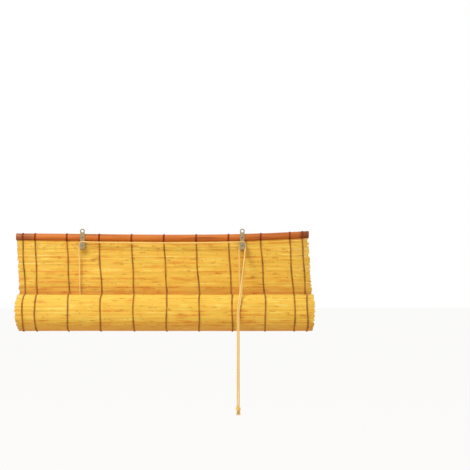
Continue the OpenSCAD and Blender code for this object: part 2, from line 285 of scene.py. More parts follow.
class Sock:
    """A socket of a finish, so that shader maths reads as an expression."""

    def __init__(self, finish, socket):
        self.finish = finish
        self.socket = socket

    def maths(self, operation, first, second):
        """A Math node on two values."""
        return self.finish.node("ShaderNodeMath", {"operation": operation}, {0: first, 1: second})

    def __add__(self, other):
        return self.maths("ADD", self, other)

    def __radd__(self, other):
        return self.maths("ADD", other, self)

    def __sub__(self, other):
        return self.maths("SUBTRACT", self, other)

    def __rsub__(self, other):
        return self.maths("SUBTRACT", other, self)

    def __mul__(self, other):
        return self.maths("MULTIPLY", self, other)

    def __rmul__(self, other):
        return self.maths("MULTIPLY", other, self)


class Finish:
    """The nodes of a material or of the world."""

    def __init__(self, owner):
        owner.use_nodes = True
        self.tree = owner.node_tree

    def node(self, kind, options=None, inputs=None, output=0):
        """A node with its options set first, then the values or links of its sockets."""
        made = self.tree.nodes.new(kind)
        for name, value in (options or {}).items():
            if name == "stops":
                self.set_stops(made.color_ramp, value)
            else:
                setattr(made, name, value)
        for name, value in (inputs or {}).items():
            self.feed(made.inputs[name], value)
        return Sock(self, made.outputs[output]) if len(made.outputs) else made

    def set_stops(self, ramp, stops):
        """The places and colours of a ramp."""
        while len(ramp.elements) < len(stops):
            ramp.elements.new(1.0)
        for element, (place, colour) in zip(ramp.elements, stops):
            element.position = place
            element.color = colour

    def feed(self, socket, value):
        """Links a socket or sets its own value."""
        if isinstance(value, Sock):
            self.tree.links.new(value.socket, socket)
        else:
            socket.default_value = value

    def mix(self, factor, first, second):
        """One colour over another."""
        inputs = {0: factor, 6: first, 7: second}
        return self.node("ShaderNodeMix", {"data_type": "RGBA"}, inputs, output=2)

    def ramp(self, value, stops):
        """A value as a colour."""
        return self.node("ShaderNodeValToRGB", {"stops": stops}, {0: value})

    def steps(self, value, low, high):
        """A value spread from 0 to 1 between two levels."""
        return self.node(
            "ShaderNodeMapRange", {"interpolation_type": "SMOOTHSTEP"},
            {"Value": value, "From Min": low, "From Max": high},
        )

    def places(self):
        """The x, y and z of the surface in the shared frame."""
        where = self.node("ShaderNodeTexCoord", output="Object")
        return [self.node("ShaderNodeSeparateXYZ", inputs={0: where}, output=axis) for axis in range(3)]

    def noise(self, x, y, z, detail=2.0, rough=0.5):
        """A cloudy value at stretched places."""
        where = self.node("ShaderNodeCombineXYZ", inputs={0: x, 1: y, 2: z})
        inputs = {"Vector": where, "Scale": 1.0, "Detail": detail, "Roughness": rough}
        return self.node("ShaderNodeTexNoise", inputs=inputs)

    def mark(self, name):
        """A value painted on the piece."""
        return self.node("ShaderNodeAttribute", {"attribute_name": name}, output="Fac")

    def bump(self, height, strength, distance):
        """A normal from a height."""
        return self.node(
            "ShaderNodeBump", inputs={"Height": height, "Strength": strength, "Distance": distance}
        )

    def shade(self, **values):
        """Feeds the main shader."""
        shader = self.tree.nodes["Principled BSDF"]
        for name, value in values.items():
            self.feed(shader.inputs[name.replace("_", " ").title().replace("Ior", "IOR")], value)


def new_finish(name):
    """An empty material and its nodes."""
    material = bpy.data.materials.new(name)
    return material, Finish(material)


def reed_finish():
    """Golden split reeds: streaks along each reed, dark marks, joints, fine fibres and painted shade."""
    if "reed_straw" in bpy.data.materials:
        return bpy.data.materials["reed_straw"]
    mat = settings().mat
    material, nodes = new_finish("reed_straw")
    x, y, z = nodes.places()
    reed = nodes.mark("reed_number")
    tone = nodes.mark("tone")
    streak = nodes.noise(x * 19.0, reed * 5.37, 0.0, detail=3.0, rough=0.6)
    patch = nodes.noise(x * 8.0, y * 26.0, z * 26.0, detail=1.0)
    mottle = nodes.noise(x * 21.0, y * 85.0, z * 85.0, detail=1.0)
    drift = nodes.noise(x * 4.0, reed * 1.31, 7.0, detail=1.0)
    level = tone * 0.45 + streak * 0.80 + drift * 0.25 + patch * 0.5 + mottle * 0.9 - 0.98
    straw = nodes.ramp(level, [
        (0.10, linear(mat.honey)), (0.38, linear(mat.gold)),
        (0.62, linear(mat.gold)), (0.92, linear(mat.pale)),
    ])
    young = nodes.steps(nodes.noise(x * 5.0, reed * 2.9, 21.0, detail=1.0), low=0.58, high=0.74)
    straw = nodes.mix(young * 0.75, straw, linear(mat.green))
    dash = nodes.steps(nodes.noise(x * 27.0, reed * 8.1, 3.0, detail=2.0), low=0.61, high=0.70)
    straw = nodes.mix(dash * 0.45, straw, linear(mat.brown))
    joint = nodes.steps(nodes.mark("joint"), low=0.45, high=0.9)
    straw = nodes.mix(joint * 0.6, straw, linear(mat.brown))
    straw = nodes.mix(nodes.mark("pith") * 0.75, straw, linear(mat.pith))
    # Painted shade: the reeds are mixed towards a warm darker colour where they lie in shade, above and
    # under the roll.
    straw = nodes.mix(nodes.mark("dim"), straw, linear(mat.painted_shade_colour))
    fibre = nodes.noise(x * 24.0, y * 2600.0, z * 2600.0, detail=2.0)
    straw = nodes.mix(nodes.steps(fibre, low=0.55, high=0.8) * 0.22, straw, linear(mat.honey))
    ridges = nodes.bump(fibre, strength=0.35, distance=0.0002)
    nodes.shade(base_color=straw, roughness=0.36 + streak * 0.2, normal=ridges)
    nodes.shade(specular_ior_level=0.3)
    return material


def thread_finish(name, colour):
    """Twine with short fibres and faded places."""
    material, nodes = new_finish(name)
    x, y, z = nodes.places()
    fuzz = nodes.noise(x * 1500.0, y * 1500.0, z * 700.0, detail=2.0)
    fade = nodes.noise(x * 60.0, y * 60.0, z * 45.0, detail=2.0)
    dark = tuple(c * 0.55 for c in colour)
    pale = tuple(min(1.0, c * 1.35 + 0.03) for c in colour)
    twine = nodes.ramp(fuzz * 0.55 + fade * 0.45, [
        (0.30, linear(dark)), (0.52, linear(colour)), (0.78, linear(pale)),
    ])
    hairs = nodes.bump(fuzz, strength=0.5, distance=0.0002)
    nodes.shade(base_color=twine, roughness=0.72 + fuzz * 0.2, normal=hairs)
    nodes.shade(specular_ior_level=0.25)
    return material


def cotton_finish():
    """Cream three strand cotton, with painted shade in its grooves and at the roots of its frayed
    fibres.
    """
    if "cord_cotton" in bpy.data.materials:
        return bpy.data.materials["cord_cotton"]
    cords = settings().cords
    material, nodes = new_finish("cord_cotton")
    x, y, z = nodes.places()
    fuzz = nodes.noise(x * 1800.0, y * 1800.0, z * 900.0, detail=2.0)
    soil = nodes.noise(x * 25.0, y * 25.0, z * 18.0, detail=2.0)
    # Painted shade in the grooves between the strands and at the roots of the frayed fibres.
    cream = nodes.mix(nodes.mark("groove") * 0.8, linear(cords.colour), linear(cords.shade))
    cream = nodes.mix(nodes.steps(soil, low=0.5, high=0.8) * 0.4, cream, linear(cords.shade))
    cream = nodes.mix(nodes.steps(fuzz, low=0.5, high=0.8) * 0.3, cream, linear(cords.shade))
    hairs = nodes.bump(fuzz, strength=0.4, distance=0.0002)
    nodes.shade(base_color=cream, roughness=0.82 + fuzz * 0.12, normal=hairs)
    nodes.shade(specular_ior_level=0.2)
    return material


def rail_finish():
    """Red brown split bamboo with long grain, muted at its left end and dark at its right end."""
    if "rail_wood" in bpy.data.materials:
        return bpy.data.materials["rail_wood"]
    wood = settings().wood
    material, nodes = new_finish("rail_wood")
    x, y, z = nodes.places()
    grain = nodes.noise(x * 5.0, y * 420.0, z * 420.0, detail=3.0, rough=0.6)
    flow = nodes.noise(x * 9.0, y * 60.0, z * 60.0, detail=2.0)
    stain = nodes.ramp(grain * 0.6 + flow * 0.4, [
        (0.32, linear(wood.dark)), (0.48, linear(wood.red)), (0.68, linear(wood.light)),
    ])
    # The rail is greyer and darker towards its left end.
    grey_brown = (0.52, 0.36, 0.25)
    muted = tuple((c + d) / 2 for c, d in zip(wood.dark, grey_brown))
    left_end = 1 - nodes.steps(x + flow * 0.03, low=-0.405, high=-0.365)
    stain = nodes.mix(left_end * 0.65, stain, linear(muted))
    right_side = nodes.steps(x + flow * 0.06, low=0.20, high=0.40)
    stain = nodes.mix(right_side * 0.3, stain, linear(wood.dark))
    right_end = nodes.steps(x + flow * 0.02, low=0.425, high=0.445)
    stain = nodes.mix(right_end * 0.8, stain, linear(tuple(c * 0.8 for c in wood.dark)))
    furrows = nodes.bump(grain, strength=0.3, distance=0.0003)
    nodes.shade(base_color=stain, roughness=0.34 + grain * 0.25, normal=furrows)
    nodes.shade(coat_weight=0.05, specular_ior_level=0.25)
    return material


def zinc_finish():
    """Dull zinc with spangle and darker weathering."""
    metal = settings().metal
    material, nodes = new_finish("bracket_zinc")
    x, y, z = nodes.places()
    where = nodes.node("ShaderNodeTexCoord", output="Object")
    spangle = nodes.node(
        "ShaderNodeTexVoronoi", {"feature": "F1"}, {"Vector": where, "Scale": 420.0}, output="Color"
    )
    grey = nodes.node("ShaderNodeRGBToBW", inputs={0: spangle})
    weather = nodes.noise(x * 180.0, y * 180.0, z * 180.0, detail=3.0, rough=0.6)
    worn = nodes.steps(weather + grey * 0.3, low=0.5, high=0.85)
    plate = nodes.mix(worn, linear(metal.zinc), linear(metal.dull_zinc))
    pits = nodes.bump(weather, strength=0.06, distance=0.0002)
    nodes.shade(base_color=plate, roughness=0.30 + weather * 0.22, normal=pits)
    nodes.shade(metallic=0.9)
    return material


def steel_finish():
    """Brushed steel for pins and screws."""
    metal = settings().metal
    material, nodes = new_finish("pin_steel")
    x, y, z = nodes.places()
    brush = nodes.noise(x * 900.0, y * 150.0, z * 900.0, detail=2.0)
    rub = nodes.noise(x * 240.0, y * 240.0, z * 240.0, detail=2.0)
    worn = nodes.steps(rub, low=0.45, high=0.75)
    pin = nodes.mix(worn, linear(metal.steel), linear(metal.dull_zinc))
    scratches = nodes.bump(brush, strength=0.1, distance=0.0002)
    nodes.shade(base_color=pin, roughness=0.3 + brush * 0.25, normal=scratches)
    nodes.shade(metallic=0.85)
    return material


def bow_lift(x):
    """How far the bent rail stands above its straight line, nothing at the two brackets."""
    wood = settings().wood
    return (wood.bow + wood.skew * x) * (x * x - EYE_X * EYE_X)


def hanging_share(z):
    """0 at the rail and 1 where the mat meets the roll."""
    return min(1.0, max(0.0, (MAT_TOP - z) / (MAT_TOP - ROLL_AXIS.z)))


def hanging_point(x, y, z):
    """A point of the straight mat, moved with the rail's bow and the mat's lean."""
    bow_fade = 1.5
    share = hanging_share(z)
    across = x * (1 + settings().mat.widen * share) + ROLL_AXIS.x * share
    return Vector((across, y, z + bow_lift(x) * (1 - share) ** bow_fade))


def hanging_z(reed):
    """The height of a hanging reed; the first few stand closer to the rail."""
    raised = 0.0018
    raised_reeds = 18
    return MAT_TOP - REED_D / 2 - REED_PITCH * reed + raised * max(0.0, 1 - reed / raised_reeds)


def roll_reed_angles():
    """The angle of each rolled reed from the back of the roll, in radians."""
    angles = []
    angle = REED_PITCH / OUTER_RADIUS / 2
    while angle < ROLL_TURNS * math.tau:
        angles.append(angle)
        angle += REED_PITCH / turn_radius(angle)
    return angles


def turn_radius(angle):
    """The distance of the middle of the mat from the axis, at an angle along the roll."""
    turns = angle / math.tau
    if turns < 1:
        sag = settings().mat.sag * max(0.0, math.sin(angle)) ** 2
        return OUTER_RADIUS - TURN_PITCH * turns + sag
    return OUTER_RADIUS - TURN_PITCH - TURN_ROOM - INNER_PITCH * (turns - 1)


def rolled_point(x, angle, out):
    """A point on the roll, at a height over the middle of the mat."""
    radius = turn_radius(angle) + out
    share = max(0.0, 1 - angle / (math.pi / 2))
    across = x * (1 + settings().mat.widen * share) + ROLL_AXIS.x
    y = ROLL_AXIS.y + radius * math.cos(angle)
    z = ROLL_AXIS.z - radius * math.sin(angle)
    return Vector((across, y, z))


def smooth_line(points, step):
    """A smooth line through the points, with a new point about every step."""
    spans = [(b - a).length for a, b in zip(points, points[1:])]
    slopes = [(b - a) / s for a, b, s in zip(points, points[1:], spans)]
    leans = [slopes[0]]
    for i in range(1, len(slopes)):
        total = spans[i - 1] + spans[i]
        leans.append((slopes[i - 1] * spans[i] + slopes[i] * spans[i - 1]) / total)
    leans.append(slopes[-1])
    line = []
    for i, span in enumerate(spans):
        count = max(1, round(span / step))
        for k in range(count):
            t = k / count
            start = (2 * t ** 3 - 3 * t ** 2 + 1) * points[i]
            start += (t ** 3 - 2 * t ** 2 + t) * span * leans[i]
            end = (3 * t ** 2 - 2 * t ** 3) * points[i + 1]
            end += (t ** 3 - t ** 2) * span * leans[i + 1]
            line.append(start + end)
    line.append(points[-1].copy())
    return line


def frames_along(points):
    """Two side directions for each point of a line, carried along it without a twist."""
    last = len(points) - 1
    ahead = [(points[min(i + 1, last)] - points[max(i - 1, 0)]).normalized() for i in range(last + 1)]
    side = ahead[0].orthogonal().normalized()
    frames = []
    for i, forward in enumerate(ahead):
        if i:
            side = ahead[i - 1].rotation_difference(forward) @ side
        side = (side - forward * side.dot(forward)).normalized()
        frames.append((side, forward.cross(side)))
    return frames


def bent_tube(bm, points, radii, sides, section=None):
    """A straight tube cut into rings and bent along the points; gives its vertices and their rings."""
    rings = len(points)
    half_ring = 0.5
    before = len(bm.verts)
    made = bmesh.ops.create_cone(
        bm, cap_ends=True, cap_tris=False, segments=sides, radius1=1.0, radius2=1.0, depth=rings - 1
    )
    long_edges = {}
    for vert in made["verts"]:
        for edge in vert.link_edges:
            if abs(edge.verts[0].co.z - edge.verts[1].co.z) > half_ring:
                long_edges[edge] = True
    if rings > 2:
        bmesh.ops.subdivide_edges(bm, edges=list(long_edges), cuts=rings - 2)
    bm.verts.ensure_lookup_table()
    frames = frames_along(points)
    placed = []
    for vert in bm.verts[before:]:
        ring = round(vert.co.z + (rings - 1) / 2)
        angle = math.atan2(vert.co.y, vert.co.x)
        share = section(ring, angle) if section else 1.0
        side, up = frames[ring]
        vert.co = points[ring] + (side * math.cos(angle) + up * math.sin(angle)) * radii[ring] * share
        placed.append((vert, ring, share))
    return placed


def finished_piece(name, bm, material, nodes, sharp):
    """A mesh object at the origin that stands for CAD nodes."""
    mesh = bpy.data.meshes.new(name)
    bm.to_mesh(mesh)
    bm.free()
    mesh.materials.append(material)
    mesh.polygons.foreach_set("use_smooth", [True] * len(mesh.polygons))
    mesh.set_sharp_from_angle(angle=math.radians(sharp))
    obj = bpy.data.objects.new(name, mesh)
    bpy.context.scene.collection.objects.link(obj)
    if nodes:
        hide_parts(*nodes)
    return obj


class ReedMaker:
    """Cuts reeds into one mesh, each with its own chance bends, joints and colour."""

    taper_range = (0.02, 0.05)
    wave_rates = (0.6, 3.2)
    wave_shares = (0.3, 1.0)
    wave_count = 4
    joint_margin = 0.03
    joint_half = 0.004
    joint_swell = 0.10
    pith_rim = 0.35
    pith_depth = 0.25

    def __init__(self, seed):
        self.bm = bmesh.new()
        self.chance = random.Random(seed)
        self.number = self.bm.verts.layers.float.new("reed_number")
        self.tone = self.bm.verts.layers.float.new("tone")
        self.joint = self.bm.verts.layers.float.new("joint")
        self.pith = self.bm.verts.layers.float.new("pith")
        self.dim = self.bm.verts.layers.float.new("dim")
        self.count = 0

    def wave(self):
        """The rate, phase and share of one bend along a reed."""
        chance = self.chance
        rate = chance.uniform(*self.wave_rates)
        phase = chance.uniform(0, math.tau)
        return rate, phase, chance.uniform(*self.wave_shares)

    def cut(self, place, start, end, spans, sides, joints, dim=0.0):
        """One reed from start to end, with painted shade on its front; place(x, sway) gives a point on
        its middle line.
        """
        mat = settings().mat
        chance = self.chance
        radius = REED_D / 2 * chance.uniform(mat.thin, mat.thick)
        taper = chance.choice((-1, 1)) * chance.uniform(*self.taper_range)
        bends = [self.wave() for _ in range(self.wave_count)]
        first = start + self.joint_margin
        last = end - self.joint_margin
        knobs = [chance.uniform(first, last) for _ in range(joints)]
        along = [(start + (end - start) * i / spans, 0.0) for i in range(spans + 1)]
        for knob in knobs:
            along += [(knob - self.joint_half, 0.0), (knob, 1.0), (knob + self.joint_half, 0.0)]
        along.sort()
        points = []
        radii = []
        for x, knob in along:
            waves = [share * math.sin(math.tau * rate * x + phase) for rate, phase, share in bends]
            sway = (waves[0] + waves[1], waves[2] + waves[3])
            points.append(place(x, [mat.wander * s for s in sway]))
            radii.append(radius * (1 + taper * x / HALF_WIDTH + self.joint_swell * knob))
        tone = chance.random()
        before = len(self.bm.faces)
        for vert, ring, _ in bent_tube(self.bm, points, radii, sides):
            vert[self.number] = self.count
            vert[self.tone] = tone
            vert[self.joint] = along[ring][1]
            # The painted shade is strongest on the front of the reed and fades to nothing at its back.
            vert[self.dim] = dim * (0.5 + 0.5 * (points[ring].y - vert.co.y) / radii[ring])
        self.bm.faces.ensure_lookup_table()
        ends = [face for face in self.bm.faces[before:] if len(face.verts) == sides]
        bmesh.ops.inset_individual(
            self.bm, faces=ends, thickness=radius * self.pith_rim, depth=-radius * self.pith_depth
        )
        for vert in {vert: True for face in ends for vert in face.verts}:
            vert[self.number] = self.count
            vert[self.tone] = tone
            vert[self.pith] = 1.0
        self.count += 1


class BLIND_OT_stage(bpy.types.Operator):
    """Sets the camera, the lamps, the white surround and the floor"""

    bl_idname = "blind.stage"
    bl_label = "Stage"

    def execute(self, context):
        stage = settings().stage
        scene = context.scene
        scene.view_settings.view_transform = "Standard"
        self.camera(scene, stage)
        self.lamp("key_lamp", place=(-1.6, -2.3, 2.6), size=1.5, power=stage.key_power)
        self.lamp("fill_lamp", place=(2.2, -2.4, 0.3), size=2.0, power=stage.fill_power)
        self.surround(scene, stage)
        self.floor(stage)
        return {"FINISHED"}

    def camera(self, scene, stage):
        """A camera that looks straight at the front of the blind."""
        data = bpy.data.cameras.new("photo_camera")
        data.lens = stage.lens
        data.sensor_width = 36.0
        data.clip_end = 60.0
        camera = bpy.data.objects.new("photo_camera", data)
        camera.location = stage.eye
        camera.rotation_euler = (math.pi / 2, 0.0, 0.0)
        scene.collection.objects.link(camera)
        scene.camera = camera

    def lamp(self, name, place, size, power):
        """A soft square lamp that points at the blind."""
        target = (0.0, 0.0, -0.2)
        data = bpy.data.lights.new(name, "AREA")
        data.shape = "SQUARE"
        data.size = size
        data.energy = power
        lamp = bpy.data.objects.new(name, data)
        lamp.location = place
        lamp.rotation_euler = (Vector(target) - Vector(place)).to_track_quat("-Z", "Y").to_euler()
        bpy.context.scene.collection.objects.link(lamp)

    def surround(self, scene, stage):
        """White to the eye and in metal, a plain grey light for the rest."""
        world = bpy.data.worlds.new("studio")
        scene.world = world
        nodes = Finish(world)
        seen = self.seen(nodes)
        ambient = stage.ambient
        tone = nodes.mix(seen, (ambient, ambient, ambient, 1.0), WHITE)
        nodes.feed(nodes.tree.nodes["Background"].inputs["Color"], tone)

    def seen(self, nodes):
        """1 for rays from the camera, from metal and through glass."""
        rays = [nodes.node("ShaderNodeLightPath", output=name) for name in
                ("Is Camera Ray", "Is Glossy Ray", "Is Transmission Ray")]
        clamp = {"operation": "ADD", "use_clamp": True}
        return nodes.node("ShaderNodeMath", clamp, {0: rays[0] + rays[1], 1: rays[2]})

    def floor(self, stage):
        """A pale floor that keeps the blind's shadow."""
        sand = (0.76, 0.63, 0.50, 1.0)
        pale_sand = (0.80, 0.67, 0.54, 1.0)
        glow_share = 0.92
        material, nodes = new_finish("studio_floor")
        x, y, _ = nodes.places()
        cloud = nodes.noise(x * 2.0, y * 2.0, 0.0, detail=3.0)
        nodes.shade(base_color=nodes.mix(cloud, sand, pale_sand), roughness=0.9)
        glow = nodes.node("ShaderNodeEmission", inputs={"Color": WHITE, "Strength": 1.0})
        matt = Sock(nodes, nodes.tree.nodes["Principled BSDF"].outputs[0])
        seen = self.seen(nodes) * glow_share
        both = nodes.node("ShaderNodeMixShader", inputs={0: seen, 1: matt, 2: glow})
        nodes.tree.links.new(both.socket, nodes.tree.nodes["Material Output"].inputs["Surface"])
        bm = bmesh.new()
        bmesh.ops.create_grid(bm, x_segments=8, y_segments=8, size=14.0)
        bmesh.ops.translate(bm, verts=bm.verts, vec=(0.0, 0.0, stage.floor_z))
        mesh = bpy.data.meshes.new("studio_floor")
        bm.to_mesh(mesh)
        bm.free()
        mesh.materials.append(material)
        floor = bpy.data.objects.new("studio_floor", mesh)
        bpy.context.scene.collection.objects.link(floor)
        floor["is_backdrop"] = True


class BLIND_OT_cords(bpy.types.Operator):
    """Lays the two lift strands and the two pull strands of three strand cotton"""

    bl_idname = "blind.cords"
    bl_label = "Cords"

    def execute(self, context):
        knot = self.knot()
        lifts = (
            ("left_lift_strand", LEFT_LIFT_ROUTE, "left_lift_cord"),
            ("right_lift_strand", RIGHT_LIFT_ROUTE, "right_lift_cord"),
        )
        for name, route, node in lifts:
            strand, line = self.strand(name, route, (node,))
            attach(strand, "head")
            tuple(line[0])
            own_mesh(strand)
            self.declare(strand, line, "object", ())
        cross, line = self.strand("cross_strand", CROSS_ROUTE, ("cross_cord", "cross_cord_tail"))
        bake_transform(cross)
        self.declare(cross, line, "knot", (knot,))
        pull, line = self.strand("pull_strand", PULL_ROUTE, ("pull_cord", "pull_cord_tail"))
        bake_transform(pull)
        self.declare(pull, line, "knot", (knot,))
        return {"FINISHED"}

    def twisted(self, bm, line, groove):
        """Three strands laid round each other along a line."""
        cords = settings().cords
        radius = cords.diameter / 2
        strands = 3
        deep = 0.26
        fullness = 0.6
        turn = [0.0]
        for a, b in zip(line, line[1:]):
            turn.append(turn[-1] + math.tau * (b - a).length / cords.lay)

        def lobes(ring, angle):
            swell = abs(math.cos(strands / 2 * (angle - turn[ring]))) ** fullness
            return 1 - deep * (1 - swell)

        for vert, _, share in bent_tube(bm, line, [radius] * len(line), CORD_SIDES, lobes):
            # Painted shade: the deeper a place lies in a groove, the darker it is painted.
            vert[groove] = (1 - share) / deep

    def strand(self, name, route, nodes):
        """One cord along its route."""
        line = smooth_line([Vector(p) * MILLIMETRE for p in route], settings().cords.step)
        bm = bmesh.new()
        groove = bm.verts.layers.float.new("groove")
        self.twisted(bm, line, groove)
        return finished_piece(name, bm, cotton_finish(), nodes, ROUND_SHARP), line

    def declare(self, strand, line, far_end, with_pieces):
        """Works out how long a cord is, but keeps nothing of it."""
        length = sum((b - a).length for a, b in zip(line, line[1:]))
        tuple(line[0])
        [tuple(p) for p in line]

    def knot(self):
        """Three wraps round both strands, with two frayed ends below."""
        fray_seed = 5
        bm = bmesh.new()
        groove = bm.verts.layers.float.new("groove")
        self.twisted(bm, self.wrap_line(), groove)
        chance = random.Random(fray_seed)
        for side in (-1, 1):
            self.fray(bm, groove, side, chance)
        knot = finished_piece("pull_knot", bm, cotton_finish(), ("cord_knot",), ROUND_SHARP)
        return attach(knot, "lift")

    def wrap_line(self):
        """The line of a cord wound round both strands, with its two ends tucked in."""
        wraps = 3.4
        turn_rings = 22
        half_width = 0.0053
        half_depth = 0.0046
        top = 0.0008
        height = 0.0128
        tucked_reach = 0.25
        tuck_rate = 7
        count = round(wraps * turn_rings)
        line = []
        for i in range(count + 1):
            share = i / count
            free = min(1.0, min(share, 1 - share) * tuck_rate)
            reach = tucked_reach + (1 - tucked_reach) * free
            angle = share * wraps * math.tau
            out = Vector((half_width * math.cos(angle), half_depth * math.sin(angle), 0.0)) * reach
            line.append(KNOT_TOP + out + Vector((0.0, 0.0, -top - height * share)))
        return line

    def fray(self, bm, groove, side, chance):
        """The loose fibres at the end of one strand."""
        fibres = 26
        stations = (0.0, 0.3, 0.6, 0.85, 1.0)
        radii = (0.00042, 0.0004, 0.00036, 0.0003, 0.0002)
        strand_end = Vector((side * 0.0022, 0.0, -0.0140))
        bunch = 0.0015
        shortest = 0.0095
        longest = 0.0138
        drift = 0.0010
        flare = 0.0026
        curl = 0.0006
        curl_rate = 3
        root_shade = 0.35
        for _ in range(fibres):
            lean = chance.uniform(0, math.tau)
            outward = Vector((math.cos(lean), math.sin(lean), 0.0))
            spread = math.sqrt(chance.random())
            root = KNOT_TOP + strand_end + outward * spread * bunch
            drop = chance.uniform(shortest, longest)
            tip = Vector((side * drift, 0.0, -drop)) + outward * spread * flare
            fibre = [root + tip * t + outward * curl * math.sin(curl_rate * t) for t in stations]
            last = len(stations) - 1
            for vert, ring, _ in bent_tube(bm, fibre, radii, FIBRE_SIDES):
                # Painted shade where the fibres leave the knot, fading towards their tips.
                vert[groove] = root_shade * (last - ring) / last


class BLIND_OT_rails(bpy.types.Operator):
    """Shapes the bowed half round head rail and stains both rails"""

    bl_idname = "blind.rails"
    bl_label = "Rails"

    def execute(self, context):
        corner_angle = math.radians(40)
        bend_cuts = 71
        bm = bmesh.new()
        bmesh.ops.create_circle(bm, cap_ends=True, segments=48, radius=RAIL_RADIUS)
        everything = bm.verts[:] + bm.edges[:] + bm.faces[:]
        bmesh.ops.bisect_plane(
            bm, geom=everything, plane_co=(0, 0, 0), plane_no=(0, 1, 0), clear_outer=True
        )
        for vert in bm.verts:
            vert.co = (RAIL_LOW.x, RAIL_HIGH.y + vert.co.y, RAIL_MID_Z + vert.co.x)
        made = bmesh.ops.extrude_face_region(bm, geom=bm.faces[:])
        far = [part for part in made["geom"] if isinstance(part, bmesh.types.BMVert)]
        bmesh.ops.translate(bm, verts=far, vec=(RAIL_HIGH.x - RAIL_LOW.x, 0.0, 0.0))
        bmesh.ops.recalc_face_normals(bm, faces=bm.faces[:])
        joined = [edge for edge in bm.edges if edge.is_manifold]
        corners = [edge for edge in joined if edge.calc_face_angle() > corner_angle]
        bmesh.ops.bevel(
            bm, geom=corners, offset=0.0011, offset_type="OFFSET", segments=3, profile=0.5,
            affect="EDGES", material=-1,
        )
        bmesh.ops.remove_doubles(bm, verts=bm.verts[:], dist=WELD)
        bmesh.ops.dissolve_degenerate(bm, edges=bm.edges[:], dist=WELD)
        half = (RAIL_HIGH.x - RAIL_LOW.x) / 2
        long_edges = [
            edge for edge in bm.edges if abs(edge.verts[0].co.x - edge.verts[1].co.x) > half
        ]
        bmesh.ops.subdivide_edges(bm, edges=long_edges, cuts=bend_cuts)
        for vert in bm.verts:
            vert.co.z += bow_lift(vert.co.x)
        rail = finished_piece("head_rail_wood", bm, rail_finish(), ("head_rail",), RAIL_SHARP)
        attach(rail, "head")
        dress("bottom_rail", rail_finish())
        return {"FINISHED"}


class BLIND_OT_hanging_mat(bpy.types.Operator):
    """Hangs the flat part of the mat, reed by reed"""

    bl_idname = "blind.hanging_mat"
    bl_label = "Hanging mat"

    def execute(self, context):
        mat = settings().mat
        upright_sway = 0.3
        spans = 16
        most_joints = 3
        maker = ReedMaker(mat.seed)
        chance = maker.chance
        for i in range(HANGING_REEDS):
            z = hanging_z(i)

            def place(x, sway, z=z):
                return hanging_point(x, MAT_Y + sway[0], z + sway[1] * upright_sway)

            start = -HALF_WIDTH + chance.uniform(-1, 1) * mat.ragged
            end = HALF_WIDTH + chance.uniform(-1, 1) * mat.ragged
            # Painted shade on the reeds just above the roll, growing stronger towards the roll.
            depth = min(1.0, max(0.0, (PAINTED_SHADE_TOP - z) / PAINTED_SHADE_BLEND))
            joints = chance.randint(1, most_joints)
            maker.cut(place, start, end, spans, HANGING_REED_SIDES, joints, mat.dim * depth * depth)
        reeds = finished_piece(
            "hanging_reeds", maker.bm, reed_finish(), ("mat_panel",), REED_SHARP
        )
        hang(reeds)
        return {"FINISHED"}


class BLIND_OT_rolled_mat(bpy.types.Operator):
    """Winds the rest of the mat into its roll, reed by reed"""

    bl_idname = "blind.rolled_mat"
    bl_label = "Rolled mat"

    def execute(self, context):
        mat = settings().mat
        pressed_sway = 0.6
        inner_tuck = 0.75
        outer_spans = 5
        inner_spans = 2
        roll_underside_shade = 1.3
        shade_fall = 4
        outer = ReedMaker(mat.seed + 1)
        inner = ReedMaker(mat.seed + 2)
        for angle in roll_reed_angles():
            shown = angle < math.tau
            maker = outer if shown else inner
            chance = maker.chance

            def place(x, sway, angle=angle):
                along = angle + sway[1] * pressed_sway / turn_radius(angle)
                return rolled_point(x, along, sway[0] * pressed_sway)

            below = max(0.0, math.sin(angle)) if shown else inner_tuck
            front = max(0.0, -math.cos(angle)) if shown else 0.0
            start = -HALF_WIDTH + mat.tuck * below - mat.jut * front
            start += chance.uniform(-1, 1) * mat.ragged
            end = HALF_WIDTH - mat.tuck * below + mat.jut * front
            end += chance.uniform(-1, 1) * mat.ragged
            if shown:
                # Painted shade on the outer turn, warmer and darker towards the underside of the roll.
                dim = mat.dim * roll_underside_shade * below ** shade_fall
                maker.cut(place, start, end, outer_spans, ROLLED_REED_SIDES, 1, dim)
            else:
                maker.cut(place, start, end, inner_spans, ROLLED_REED_SIDES, 0)
        turn = finished_piece(
            "outer_turn_reeds", outer.bm, reed_finish(), ("mat_roll",), REED_SHARP
        )
        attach(turn, "lift")
        reeds = finished_piece(
            "rolled_reeds", inner.bm, reed_finish(), ("mat_roll",), REED_SHARP
        )
        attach(reeds, "roll")
        return {"FINISHED"}


def hang(piece):
    """Bakes the place of a piece of the hanging mat into its mesh."""
    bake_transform(piece)


def warp_x(number):
    """Where a warp leaves the rail."""
    low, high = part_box(f"roll_warp_{number}")
    return (low.x + high.x) / 2 - ROLL_AXIS.x


def warp_sway(number, reed):
    """How far a warp strays sideways from its straight line, nothing at the rail."""
    straight_reeds = 6
    grown = min(1.0, max(0.0, reed / straight_reeds))
    short_wave = 0.0009 * math.sin(0.21 * reed + 1.9 * number)
    long_wave = 0.0007 * math.sin(0.083 * reed + 4.1 * number)
    return grown * (short_wave + long_wave)


def twined(place, start, end, thread):
    """A thread that goes before one reed and behind the next; place(aside, reed, out) gives a point."""
    threads = settings().threads
    reach = REED_D / 2 + threads.radius
    steps = 4
    fullness = 0.6
    line = []
    for k in range(round((end - start) * steps) + 1):
        reed = start + k / steps
        swing = math.cos(math.pi * (reed + thread))
        out = math.copysign(abs(swing) ** fullness, swing) * reach
        aside = math.sin(math.pi * (reed + thread)) * threads.spread
        line.append(place(aside, reed, out))
    return line


